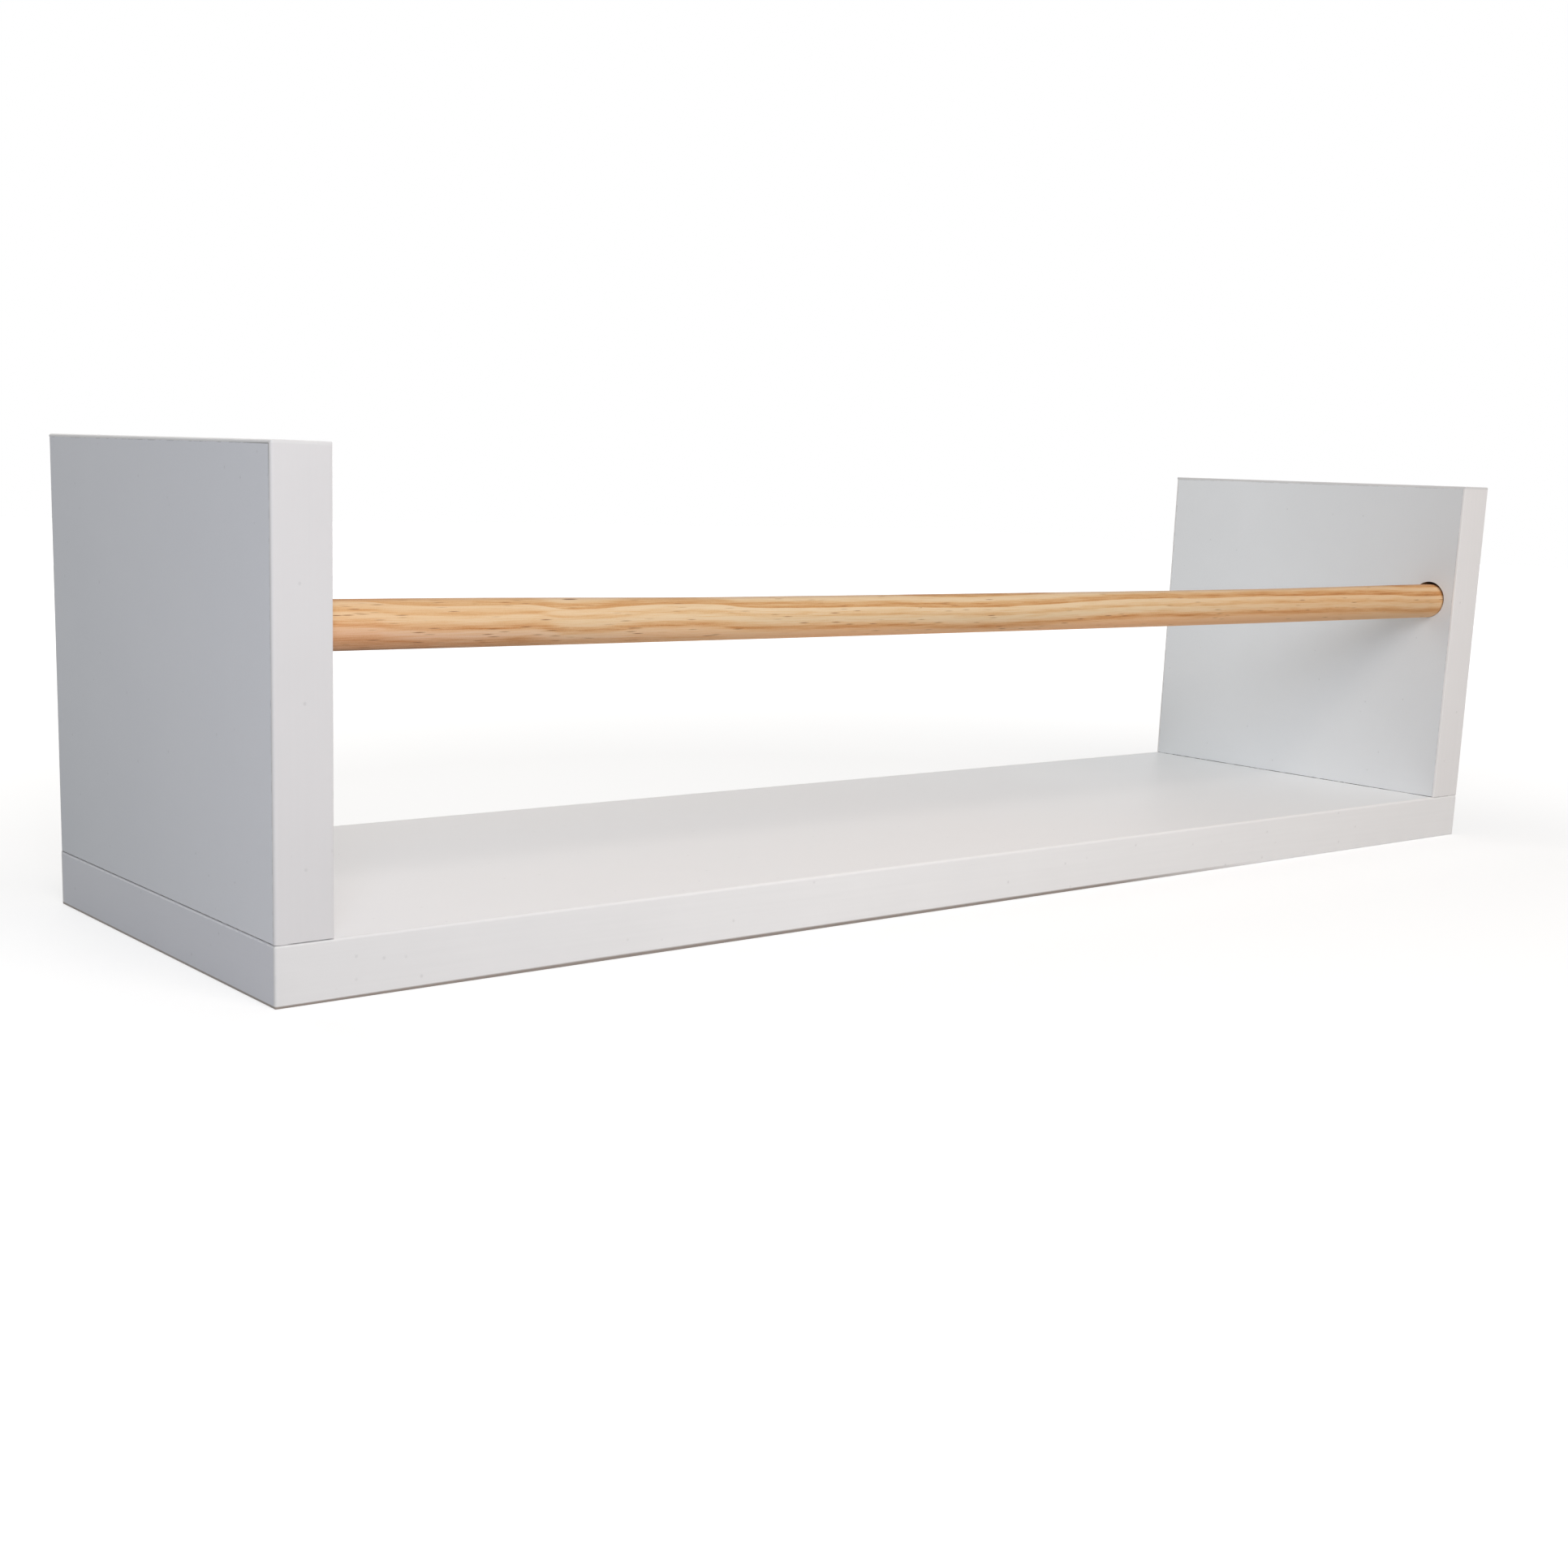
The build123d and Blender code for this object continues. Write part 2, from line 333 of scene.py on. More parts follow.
# Painted shade, darker towards the front and top of the right end, and in its back bottom corner
right_shades = [
    ({1: (30.0 * MM, end_low.y), 2: (-265.0 * MM, end_high.z)}, 0.28, painted_shade_grey),
    ({1: (10.0 * MM, end_high.y), 2: (50.0 * MM, end_low.z)}, 0.16, painted_shade_cool),
]
for side, end_white, glue_shows, shades in (
    ("left", left_end_shaded_white, 0.4, left_shades),
    ("right", right_end_lit_white, 0.3, right_shades),
):
    end_finish = board_finish(
        side + "_end_melamine",
        end_white,
        through=0,
        middle=end_middle_x,
        glue_planes={"Y": end_high.y, "Z": end_high.z},
        foot_planes={"Z": end_low.z},
        glue_shows=glue_shows,
        shades=shades,
        worn=side == "left",
    )
    dress(side + "_end_board", end_finish)


# ---- Edge bands ----
# Every cut edge is covered by a strip of white plastic, ironed on with hot glue. Its long
# edges are scraped round by hand, so they waver a little and catch the light.

band_round = 0.7 * MM
crisp_round = 0.2 * MM  # inside, behind and underneath, where nobody scraped much
band_margin = 1.0 * MM  # the rounding and a little of the flat beside it
band_waver = 0.05 * MM
band_step = 2.0 * MM
touch = 0.01 * MM  # closer than this is the same place
sharp_angle = math.radians(40)
# All bands are one white plastic: the ledge's long bands and the right upright are lightened as painted
# light, and the ledge's end bands, the left upright and the tops are darkened as painted shade.
long_band_lit_white = (0.93, 0.92, 0.918, 1)
end_band_shaded_white = (0.722, 0.728, 0.775, 1)
left_band_shaded_white = (0.735, 0.72, 0.725, 1)
right_band_lit_white = (0.9, 0.88, 0.876, 1)
top_band_shaded_white = (0.76, 0.75, 0.75, 1)
# A pale line painted as a highlight on the rounded top edge of the ledge's end bands
edge_highlight_white = (0.95, 0.95, 0.95, 1)
highlight_drop = 0.5 * MM  # below the ledge's top
highlight_width = 0.2 * MM
# Painted shade along the bottom edges of the ledge's bands
bottom_rim_shade = (0.31, 0.262, 0.23, 1)
rim_width = (0.75 * MM, 1.2 * MM)  # at the ledge's left end, and where it has grown
rim_grows = 90.0 * MM
band_pearl = 0.8 * MM
band_speck = 0.6 * MM
band_relief = 0.012 * MM
band_rough = (0.42, 0.5)
drawn_shows = 0.05
drawn_per_metre = 900.0  # across the band
drawn_along_per_metre = 18.0
waver_lengths = (7.0 * MM, 2.5 * MM)
scene = bpy.context.scene


def scaled(tree, place, factors):
    """A place with each coordinate multiplied by its own factor."""
    return put(tree, "Mapping", {"Vector": place, "Scale": factors}).outputs[0]


def streaks(tree, place, factors, detail):
    """Noise drawn out by its own factor on each axis."""
    return clouds(tree, scaled(tree, place, factors), 1.0, detail)


def band_finish(
    name,
    band_white,
    length_axis,
    painted_shade=None,
    foot=no_line,
    foot_shows=1.0,
    rim=no_line,
    rim_fades=None,
    scraped=no_line,
):
    """Satin plastic with faint drawn lines along its length.

    `painted_shade` says where painted shade lies along the band: between which places its white turns,
    by what
    share at most, and into which colour. `foot`, `rim` and `scraped` are the heights of the lines on it:
    a dark joint with painted shade of the seam, painted shade along the bottom edge, and a painted
    highlight.
    `rim_fades` holds the places between which the rim line fades out."""
    finish, tree, shader, place = start_finish(name, IOR=1.48, Specular_IOR_Level=0.45)
    skin = use_group(
        tree, satin_skin, {"Place": place, "Pearl Size": band_pearl, "Speck Size": band_speck}
    )
    stretch = [drawn_per_metre] * 3
    stretch[length_axis] = drawn_along_per_metre
    drawn = streaks(tree, place, stretch, 3.0)

    drawn_grey = spread(tree, drawn, *most_noise, 0.0, drawn_shows)
    white = satin_white(tree, skin, band_white, drawn_grey)
    lengthwise = split(tree, place)[length_axis]
    # Painted shade along the band
    if painted_shade:
        start, full, most, colour = painted_shade
        white = blend_colour(tree, spread(tree, lengthwise, start, full, 0.0, most), white, colour)

    # The rim line, painted shade along the bottom edge, grows wider along the ledge, and keeps its first
    # width round the corner
    rim_here = rim_width[0]
    if length_axis == 0:
        rim_here = spread(tree, lengthwise, ledge_low.x, ledge_low.x + rim_grows, *rim_width)
    rim_shows = spread(tree, lengthwise, *rim_fades, 1.0, 0.0) if rim_fades else 1.0

    # Each line's height, its reach to either side, how whole it is, how much it shows, its colour
    lines = [
        # The first line is a painted highlight, the second painted shade along the bottom edge, the
        # third a dark joint with painted shade of the seam
        (scraped, highlight_width, 0.3, 0.45, edge_highlight_white),
        (rim, rim_here, 1.0, rim_shows, bottom_rim_shade),
        (foot, foot_line_width, 0.15, foot_shows, foot_joint_and_shade),
    ]
    for height, width, whole, shows, colour in lines:
        if height != no_line:
            line = line_along(tree, place, width, whole, {"Z": height})
            white = blend_colour(tree, times(tree, line, shows), white, colour)
    roughness = spread(tree, skin["Cloud"], *most_noise, *band_rough)
    finish_off(tree, shader, white, roughness, drawn, band_relief)
    return finish


band_finishes = {
    "ledge_long": band_finish(
        "ledge_long_band",
        long_band_lit_white,
        length_axis=0,
        # Painted shade, darker towards the ledge's left end
        painted_shade=(-80.0 * MM, ledge_low.x, 0.25, painted_shade_grey),
        rim=ledge_low.z,
        rim_fades=(45.0 * MM, 125.0 * MM),
    ),
    "ledge_end": band_finish(
        "ledge_end_band",
        end_band_shaded_white,
        length_axis=1,
        # Painted shade, darker towards the back
        painted_shade=(ledge_low.y, ledge_high.y, 0.2, painted_shade_cool),
        foot=ledge_high.z,
        foot_shows=0.7,
        rim=ledge_low.z,
        # The scraped line here is a painted highlight
        scraped=ledge_high.z - highlight_drop,
    ),
    "left_upright": band_finish(
        "left_upright_band", left_band_shaded_white, length_axis=2, foot=end_low.z, foot_shows=0.6
    ),
    "right_upright": band_finish(
        "right_upright_band", right_band_lit_white, length_axis=2, foot=end_low.z, foot_shows=0.4
    ),
    "top": band_finish("top_band", top_band_shaded_white, length_axis=1),
}


def add_object(name, data):
    """A new object of the scene, at the origin."""
    made = bpy.data.objects.new(name, data)
    scene.collection.objects.link(made)
    return made


def into_object(bm, name):
    """Turns a bmesh into an object of the scene."""
    mesh = bpy.data.meshes.new(name)
    bm.to_mesh(mesh)
    bm.free()
    return add_object(name, mesh)


def modified(blank, *tools):
    """The blank as its modifiers shape it, in a bmesh. The blank and the tools are used up."""
    depsgraph = bpy.context.evaluated_depsgraph_get()
    shaped = bpy.data.meshes.new_from_object(blank.evaluated_get(depsgraph))
    result = bmesh.new()
    result.from_mesh(shaped)
    bpy.data.meshes.remove(shaped)
    for used in (blank, *tools):
        old = used.data
        bpy.data.objects.remove(used)
        bpy.data.meshes.remove(old)
    return result


def settle(bm, name, finish, body, slot, *stands_for):
    """Turns a bmesh into a piece at the origin that rides on a body and replaces CAD nodes."""
    for face in bm.faces:
        face.smooth = True
    for edge in bm.edges:
        edge.smooth = len(edge.link_faces) == 2 and edge.calc_face_angle() < sharp_angle
    piece = into_object(bm, name)
    piece.data.materials.append(finish)
    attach(piece, body)
    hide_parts(*stands_for)


def round_off(bm, radii):
    """The bmesh with these edges rounded, each to its own radius."""
    bm.edges.index_update()
    by_index = {edge.index: radius for edge, radius in radii.items()}
    blank = into_object(bm, "blank")
    weights = blank.data.attributes.new("bevel_weight_edge", "FLOAT", "EDGE")
    for index, radius in by_index.items():
        weights.data[index].value = radius / band_round
    rounding = blank.modifiers.new("rounding", "BEVEL")
    rounding.width = band_round
    rounding.segments = 6
    rounding.limit_method = "WEIGHT"
    return modified(blank)


def edge_band(node, out_axis, facing, length_axis, covers_ends):
    """A strip in the node's own box, its outer edges scraped round."""
    low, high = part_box(node)
    bm = bmesh.new()
    bmesh.ops.create_cube(bm, size=1.0)
    bmesh.ops.scale(bm, vec=high - low, verts=bm.verts)
    bmesh.ops.translate(bm, vec=(low + high) / 2, verts=bm.verts)
    outer = high[out_axis] if facing > 0 else low[out_axis]
    width_axis = 3 - out_axis - length_axis

    radii = {}
    for edge in bm.edges:
        middle = (edge.verts[0].co + edge.verts[1].co) / 2
        at_side = min(abs(middle[width_axis] - end[width_axis]) for end in (low, high)) < touch
        at_end = min(abs(middle[length_axis] - end[length_axis]) for end in (low, high)) < touch
        at_front = abs(middle[out_axis] - outer) < touch
        if (at_side and at_front) or (covers_ends and at_end and (at_front or at_side)):
            underneath = middle.z < touch
            against_wall = middle.y > ledge_high.y
            inner = abs(abs(middle.x) - end_low.x) < touch
            top_corner = out_axis == 2 and at_front and at_end
            crisp = underneath or against_wall or inner or top_corner
            radii[edge] = crisp_round if crisp else band_round
    bm = round_off(bm, radii)

    # Loops just inside the rounding keep the flat face flat, and the rest let it waver
    steps = int((high[length_axis] - low[length_axis]) / band_step)
    axes = (width_axis, length_axis)
    cuts = {axis: [low[axis] + band_margin, high[axis] - band_margin] for axis in axes}
    cuts[length_axis] += [low[length_axis] + (step + 1.5) * band_step for step in range(steps - 2)]
    for axis, places in cuts.items():
        across = Vector([float(along == axis) for along in range(3)])
        for place in places:
            everything = [*bm.verts, *bm.edges, *bm.faces]
            bmesh.ops.bisect_plane(
                bm, geom=everything, dist=touch / 100, plane_co=place * across, plane_no=across
            )

    for vert in bm.verts:
        from_side = min(abs(vert.co[width_axis] - end[width_axis]) for end in (low, high))
        if from_side < band_margin and abs(vert.co[out_axis] - outer) < band_round:
            long_waver, short_waver = (noise.noise(vert.co / length) for length in waver_lengths)
            waver = long_waver + 0.5 * short_waver
            inward = band_waver * (0.5 + 0.5 * max(-1.0, min(1.0, waver)))
            vert.co[out_axis] -= facing * inward * (1 - from_side / band_margin)
    return bm


# Each band's finish, the axis it faces along and which way, the axis of its length, and
# whether it covers the ends of the bands beside it
band_layout = {
    "shelf_front_band": ("ledge_long", 1, -1, 0, True),
    "shelf_back_band": ("ledge_long", 1, 1, 0, True),
    "shelf_left_band": ("ledge_end", 0, -1, 1, False),
    "shelf_right_band": ("ledge_end", 0, 1, 1, False),
    "left_end_front_band": ("left_upright", 1, -1, 2, False),
    "right_end_front_band": ("right_upright", 1, -1, 2, False),
    "left_end_top_band": ("top", 2, 1, 1, True),
    "right_end_top_band": ("top", 2, 1, 1, True),
}
for node_name, (finish_name, *layout) in band_layout.items():
    band = edge_band(node_name, *layout)
    settle(band, node_name + "_strip", band_finishes[finish_name], "shelf", "white_edge_band", node_name)
for side in ("left", "right"):
    dress(side + "_end_back_band", band_finishes[side + "_upright"])


# ---- Locating dowels ----
# Fluted beech pins, glued into the ledge by about a third of their length and into an end
# board by the rest. The flutes let spare glue out, and round ends make them start easily.

dowel_flutes = 16
flute_depth = 0.28 * MM
dowel_end_round = 0.8 * MM
beech_early = (0.64, 0.42, 0.25, 1)
beech_late = (0.52, 0.31, 0.17, 1)
beech_fleck = (0.36, 0.19, 0.09, 1)
beech_ring = 1.7  # from ring to ring, in mm
beech_pith = (0.0, 30.0)  # in mm from the shelf's middle, so far off that the rings are flat
beech_sway = 0.5  # in mm
beech_relief = 0.04 * MM
beech_rough = (0.55, 0.7)

# How many of each there are to a mm, along the grain and across it
ring_sways = (0.018, 0.1, 0.1)
ring_ripples = (0.06, 0.5, 0.5)
fine_fibres = (0.12, 5.0, 5.0)
coarse_grain = (0.05, 1.2, 1.2)


def make_wood_rings():
    """How far each point of the wood is from a pith line along X, in mm, and its fine grain."""
    tree, given, result = start_group(
        "wood_rings", ["Pith Y", "Pith Z", "Sway"], ["Depth", "Fibre", "Grain"]
    )
    place = given["Place"]
    sway = spread(tree, streaks(tree, place, ring_sways, 2.0), *all_noise, -1, 1)
    ripple = spread(tree, streaks(tree, place, ring_ripples, 3.0), *all_noise, -0.4, 0.4)
    swayed = times(tree, work_out(tree, "ADD", sway, ripple), given["Sway"])
    from_pith = off_line(tree, split(tree, place), given["Pith Y"], given["Pith Z"])
    tree.links.new(work_out(tree, "ADD", from_pith, swayed), result["Depth"])
    tree.links.new(streaks(tree, place, fine_fibres, 4.0), result["Fibre"])
    tree.links.new(streaks(tree, place, coarse_grain, 3.0), result["Grain"])
    return tree


wood_rings = make_wood_rings()


def rings_round(tree, in_mm, pith, sway):
    """The rings and the grain of wood that grew round a pith at that y and z."""
    inputs = {"Place": in_mm, "Pith Y": pith[0], "Pith Z": pith[1], "Sway": sway}
    return use_group(tree, wood_rings, inputs)


def in_millimetres(tree, place, turned=(0, 0, 0), moved=(0, 0, 0)):
    """A place in mm, turned about the origin and then moved."""
    inputs = {"Vector": place, "Scale": (1 / MM, 1 / MM, 1 / MM), "Rotation": turned, "Location": moved}
    return put(tree, "Mapping", inputs).outputs[0]


def colour_ramp(tree, share, stops):
    """A colour that runs through these stops as share goes from 0 to 1."""
    ramp = put(tree, "ValToRGB", {"Fac": share})
    while len(ramp.color_ramp.elements) < len(stops):
        ramp.color_ramp.elements.new(0.5)
    for element, (position, colour) in zip(ramp.color_ramp.elements, stops):
        element.position = position
        element.color = colour
    return ramp.outputs["Color"]


def beech_finish():
    """Close, straight grain along Z, with the short brown flecks of beech."""
    finish, tree, shader, place = start_finish("plain_beech", IOR=1.5, Specular_IOR_Level=0.3)
    in_mm = in_millimetres(tree, place, turned=(0, math.radians(90), 0))
    rings = rings_round(tree, in_mm, beech_pith, beech_sway)
    ring = work_out(tree, "FRACT", work_out(tree, "DIVIDE", rings["Depth"], beech_ring))
    wood = colour_ramp(tree, ring, [(0.0, beech_late), (0.3, beech_early), (0.95, beech_late)])
    fleck = spread(tree, rings["Grain"], 0.6, 0.66, 0.0, 0.7)
    wood = blend_colour(tree, fleck, wood, beech_fleck)
    wood = blend_colour(tree, spread(tree, rings["Fibre"], 0.4, 0.8, 0.0, 0.3), wood, beech_late)
    roughness = spread(tree, rings["Fibre"], *most_noise, *beech_rough)
    finish_off(tree, shader, wood, roughness, rings["Fibre"], beech_relief)
    return finish


def rounded_rod(radius, length, sides, rim_round, rim_steps):
    """A rod along Z with both rims rounded, its middle at the origin."""
    bm = bmesh.new()
    bmesh.ops.create_cone(
        bm, cap_ends=True, segments=sides, radius1=radius, radius2=radius, depth=length
    )
    bmesh.ops.bevel(
        bm,
        geom=[edge for edge in bm.edges if abs(edge.verts[0].co.z - edge.verts[1].co.z) < touch],
        offset=rim_round,
        offset_type="OFFSET",
        segments=rim_steps,
        profile=0.5,
        affect="EDGES",
        material=-1,
    )
    return bm


def dowel_pin(radius, length):
    """One pin along Z, its middle at the origin."""
    bm = rounded_rod(radius, length, 4 * dowel_flutes, dowel_end_round, 3)
    for vert in bm.verts:
        groove = max(0.0, math.cos(dowel_flutes * math.atan2(vert.co.y, vert.co.x)))
        shrink = 1 - groove * flute_depth / radius
        vert.co.x *= shrink
        vert.co.y *= shrink
    return bm


def add_in(whole, piece):
    """Puts a bmesh into another one, and uses it up."""
    mesh = bpy.data.meshes.new("piece")
    piece.to_mesh(mesh)
    piece.free()
    whole.from_mesh(mesh)
    bpy.data.meshes.remove(mesh)


def set_out(single, places):
    """A copy of the bmesh at each of these matrices, in one bmesh. The first one is used up."""
    whole = bmesh.new()
    for place in places:
        moved = single.copy()
        bmesh.ops.transform(moved, matrix=place, verts=moved.verts)
        add_in(whole, moved)
    single.free()
    return whole


beech = beech_finish()
for row in ("front", "back"):
    node_name = row + "_locating_dowels"
    low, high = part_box(node_name)
    middle = (low + high) / 2
    radius = (high.y - low.y) / 2
    pins = set_out(
        dowel_pin(radius, high.z - low.z),
        [Matrix.Translation((x, middle.y, middle.z)) for x in (low.x + radius, high.x - radius)],
    )
    settle(pins, node_name + "_fluted", beech, "shelf", "beech", node_name)


# ---- Screws ----
# Zinc-plated chipboard screws with countersunk heads and a cross recess. Four long ones
# come up through the ledge into the end boards, and four short ones hold the hangers.

joint_screw_diameter = 4.0 * MM
hanger_screw_diameter = 2.6 * MM

# Shares of the thread's outer diameter
core_share = 0.64
thread_pitch_share = 0.45
thread_flank_share = 0.17
point_share = 1.0
tip_share = 0.12
thread_start_share = 0.3  # plain length below the head, of the whole screw
thread_root = 0.9  # of the core, so that the thread is rooted in it
start_reach = 0.75  # how far out the thread begins, against where it is full
tip_reach = 0.15
steps_per_turn = 20

# Shares of the head's diameter, apart from its rim
cross_width = 0.5
cross_depth = 0.17
blade_thickness = 0.24  # of the cross's own width
blade_taper = 0.55  # at the bottom of the cross
head_rim = 0.25 * MM

zinc_pale = (0.62, 0.63, 0.64, 1)
zinc_dull = (0.45, 0.46, 0.47, 1)
zinc_yellow = (0.6, 0.57, 0.46, 1)
zinc_tints_per_metre = 120.0
zinc_grit_per_metre = 7000.0
zinc_relief = 0.01 * MM
zinc_rough = (0.25, 0.42)


def make_zinc_bloom():
    """The cloudy bloom and fine scratches of bright zinc plate."""
    tree, given, result = start_group("zinc_bloom", ["Cloud Size"], ["Cloud", "Tint", "Grit"])
    place = given["Place"]
    clouds_to_metre = work_out(tree, "DIVIDE", 1.0, given["Cloud Size"])
    tree.links.new(clouds(tree, place, clouds_to_metre, 4.0), result["Cloud"])
    tree.links.new(clouds(tree, place, zinc_tints_per_metre, 1.0), result["Tint"])
    tree.links.new(clouds(tree, place, zinc_grit_per_metre, 2.0), result["Grit"])
    return tree


zinc_bloom = make_zinc_bloom()


def zinc_finish(name, cloud_size, yellow):
    """Bright zinc, passivated to a faint yellow by that share."""
    finish, tree, shader, place = start_finish(name, Metallic=1.0)
    bloom = use_group(tree, zinc_bloom, {"Place": place, "Cloud Size": cloud_size})
    metal = blend_colour(tree, spread(tree, bloom["Cloud"], *much_noise), zinc_pale, zinc_dull)
    metal = blend_colour(tree, spread(tree, bloom["Tint"], 0.4, 0.7, 0.0, yellow), metal, zinc_yellow)
    roughness = spread(tree, bloom["Cloud"], *most_noise, *zinc_rough)
    finish_off(tree, shader, metal, roughness, bloom["Grit"], zinc_relief)
    return finish


def screw_blank(radius, head_radius, length):
    """Head and core of a screw, its head face up at the origin and its point down."""
    bm = bmesh.new()
    core = core_share * radius
    cone = head_radius - core
    point = 2 * point_share * radius

    # From the middle of the head round its rim, in a hollow curve to the core, and to the tip
    outline = [
        (0, 0),
        (head_radius - head_rim, 0),
        (head_radius, -head_rim / 2),
        (head_radius - head_rim, -head_rim),
        (core + 0.3 * cone, -0.62 * cone),
        (core * 1.1, -1.15 * cone),
        (core, -1.5 * cone),
        (core, point - length),
        (tip_share * radius, -length),
        (0, -length),
    ]
    verts = [bm.verts.new((x, 0, z)) for x, z in outline]
    edges = [bm.edges.new(pair) for pair in zip(verts, verts[1:])]
    bmesh.ops.spin(
        bm,
        geom=verts + edges,
        cent=(0, 0, 0),
        axis=(0, 0, 1),
        steps=32,
        angle=2 * math.pi,
        use_merge=True,
    )
    bmesh.ops.remove_doubles(bm, verts=bm.verts, dist=0.001 * MM)
    bmesh.ops.recalc_face_normals(bm, faces=bm.faces)
    return bm


def screw_thread(radius, length):
    """The sharp thread that winds down the core and runs out at the point."""
    bm = bmesh.new()
    core = core_share * radius
    pitch = 2 * thread_pitch_share * radius
    flank = 2 * thread_flank_share * radius
    point = 2 * point_share * radius
    top = -thread_start_share * length
    steps = int((length + top - 0.3 * point) / pitch * steps_per_turn)
    root = thread_root * core
    section = [(root, top + flank), (radius, top), (root, top - flank)]
    face = bm.faces.new([bm.verts.new((x, 0, z)) for x, z in section])
    bmesh.ops.spin(
        bm,
        geom=[*face.verts, *face.edges, face],
        cent=(0, 0, 0),
        axis=(0, 0, 1),
        dvec=(0, 0, -pitch / steps_per_turn),
        steps=steps,
        angle=2 * math.pi * steps / steps_per_turn,
    )
    bmesh.ops.holes_fill(bm, edges=[edge for edge in bm.edges if edge.is_boundary], sides=3)
    bmesh.ops.recalc_face_normals(bm, faces=bm.faces)

    # It rises over its first turn and shrinks with the point
    for vert in bm.verts:
        to_tip = (vert.co.z + length) / point
        from_start = (top + flank - vert.co.z) / pitch
        rise = min(1.0, start_reach + (1 - start_reach) * max(0.0, from_start))
        rise *= min(1.0, max(tip_reach, to_tip))
        vert.co.x *= rise
        vert.co.y *= rise
    return bm


def cross_blade(width, depth, turned):
    """One of the two tapered blades that stamp the cross recess."""
    bm = bmesh.new()
    bmesh.ops.create_cube(bm, size=1.0)
    bmesh.ops.scale(bm, vec=(width, blade_thickness * width, 2 * depth), verts=bm.verts)
    foot = [vert for vert in bm.verts if vert.co.z < 0]
    bmesh.ops.scale(bm, vec=(blade_taper, blade_taper, 1), verts=foot)
    bmesh.ops.rotate(bm, matrix=Matrix.Rotation(math.radians(turned), 3, "Z"), verts=bm.verts)
    return bm


def cut_away(bm, *cutters):
    """The bmesh with each of the cutters taken out of it, all of them used up."""
    blank = into_object(bm, "blank")
    tools = [into_object(cutter, "cutter") for cutter in cutters]
    for tool in tools:
        cut = blank.modifiers.new("cut", "BOOLEAN")
        cut.operation = "DIFFERENCE"
        cut.solver = "EXACT"
        cut.object = tool
    return modified(blank, *tools)


def cross_screw(diameter, head, length):
    """A whole screw, head face up at the origin."""
    blades = [cross_blade(cross_width * head, cross_depth * head, turned) for turned in (0, 90)]
    screw = cut_away(screw_blank(diameter / 2, head / 2, length), *blades)
    add_in(screw, screw_thread(diameter / 2, length))
    return screw


zinc_screw = zinc_finish("zinc_plated_screw", cloud_size=0.9 * MM, yellow=0.5)


def drive_in(node_name, diameter, length_axis, heads_high, tipped, turns):
    """Both screws of a node, each cross turned as it came to rest.

    Their heads lie at the high or the low end of the node's box along `length_axis`, and
    `tipped` is the turn about X from pointing down to the way that they are driven."""
    low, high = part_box(node_name)
    head = high[3 - length_axis] - low[3 - length_axis]
    places = []
    for x, turned in zip((low.x + head / 2, high.x - head / 2), turns):
        spot = (low + high) / 2
        spot.x = x
        spot[length_axis] = high[length_axis] if heads_high else low[length_axis]
        tip = Matrix.Rotation(tipped, 4, "X")
        turn = Matrix.Rotation(math.radians(turned), 4, "Z")
        places.append(Matrix.Translation(spot) @ tip @ turn)
    single = cross_screw(diameter, head, high[length_axis] - low[length_axis])
    screws = set_out(single, places)
    settle(screws, node_name + "_threaded", zinc_screw, "shelf", "zinc_screws", node_name)


for row, turns in {"front": (20, -35), "back": (65, 5)}.items():
    drive_in(row + "_joint_screws", joint_screw_diameter, 2, False, math.pi, turns)
for row, turns in {"lower": (12, 50), "upper": (-28, 33)}.items():
    drive_in(row + "_hanger_screws", hanger_screw_diameter, 1, True, -math.pi / 2, turns)


# ---- Keyhole hangers ----
# Two pressed steel plates, let in flush with the back edges of the end boards. The head
# of a wall screw goes in at the round hole, and the neck above it drops over the shank.

hanger_steel = zinc_finish("zinc_plated_hanger", cloud_size=2.5 * MM, yellow=0.25)
dress("hanger_plates", hanger_steel)


# ---- Pine rail ----
# A bought pine rod, turned and sanded but not varnished. It lies loose in its two sockets.
# Its growth rings lie almost level, so they draw long wandering lines along it.

rail_low, rail_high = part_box("dowel_rail")
rail_radius = (rail_high.z - rail_low.z) / 2
rail_middle = (rail_low + rail_high) / 2
rail_length = rail_high.x - rail_low.x
rail_end_round = 0.6 * MM
rail_bow = 0.35 * MM
rail_waver = 0.004  # of its radius
rail_waver_lengths = (8 * MM, 8 * MM, 35 * MM)  # twice across the rod, and along it
rail_sides = 96
rail_cuts = 117
rail_thinner = 0.6 * MM  # sanded away on top between its ends
thin_from = (-200 * MM, -100 * MM)  # x where that starts and where it is full
thin_to = (225 * MM, 120 * MM)

pine_early = (0.805, 0.605, 0.385, 1)
pine_middle = (0.74, 0.49, 0.26, 1)
pine_late = (0.6, 0.31, 0.12, 1)
pine_deep = (0.36, 0.16, 0.06, 1)
heart_tint = (1.06, 0.97, 1.08, 1)
# Painted light on the rod's lower side
underside_light_tint = (1.23, 0.95, 0.81, 1)
amber_tint = (0.99, 0.845, 0.73, 1)
# Painted shade where the rod faces up
top_shade_tint = (0.82, 0.8, 0.88, 1)
# Painted shade under the rod's left part
underside_shade_tint = (0.5, 0.5, 0.55, 1)
pine_fleck = (0.3, 0.13, 0.05, 1)
pine_pitch = (0.16, 0.07, 0.04, 1)
pine_pith = (0.0, 45.0)  # mm from the rod's middle line
pine_sway = 0.2  # in mm
pine_relief = 0.03 * MM
pine_rough = (0.6, 0.8)
pores_per_mm = 4.0

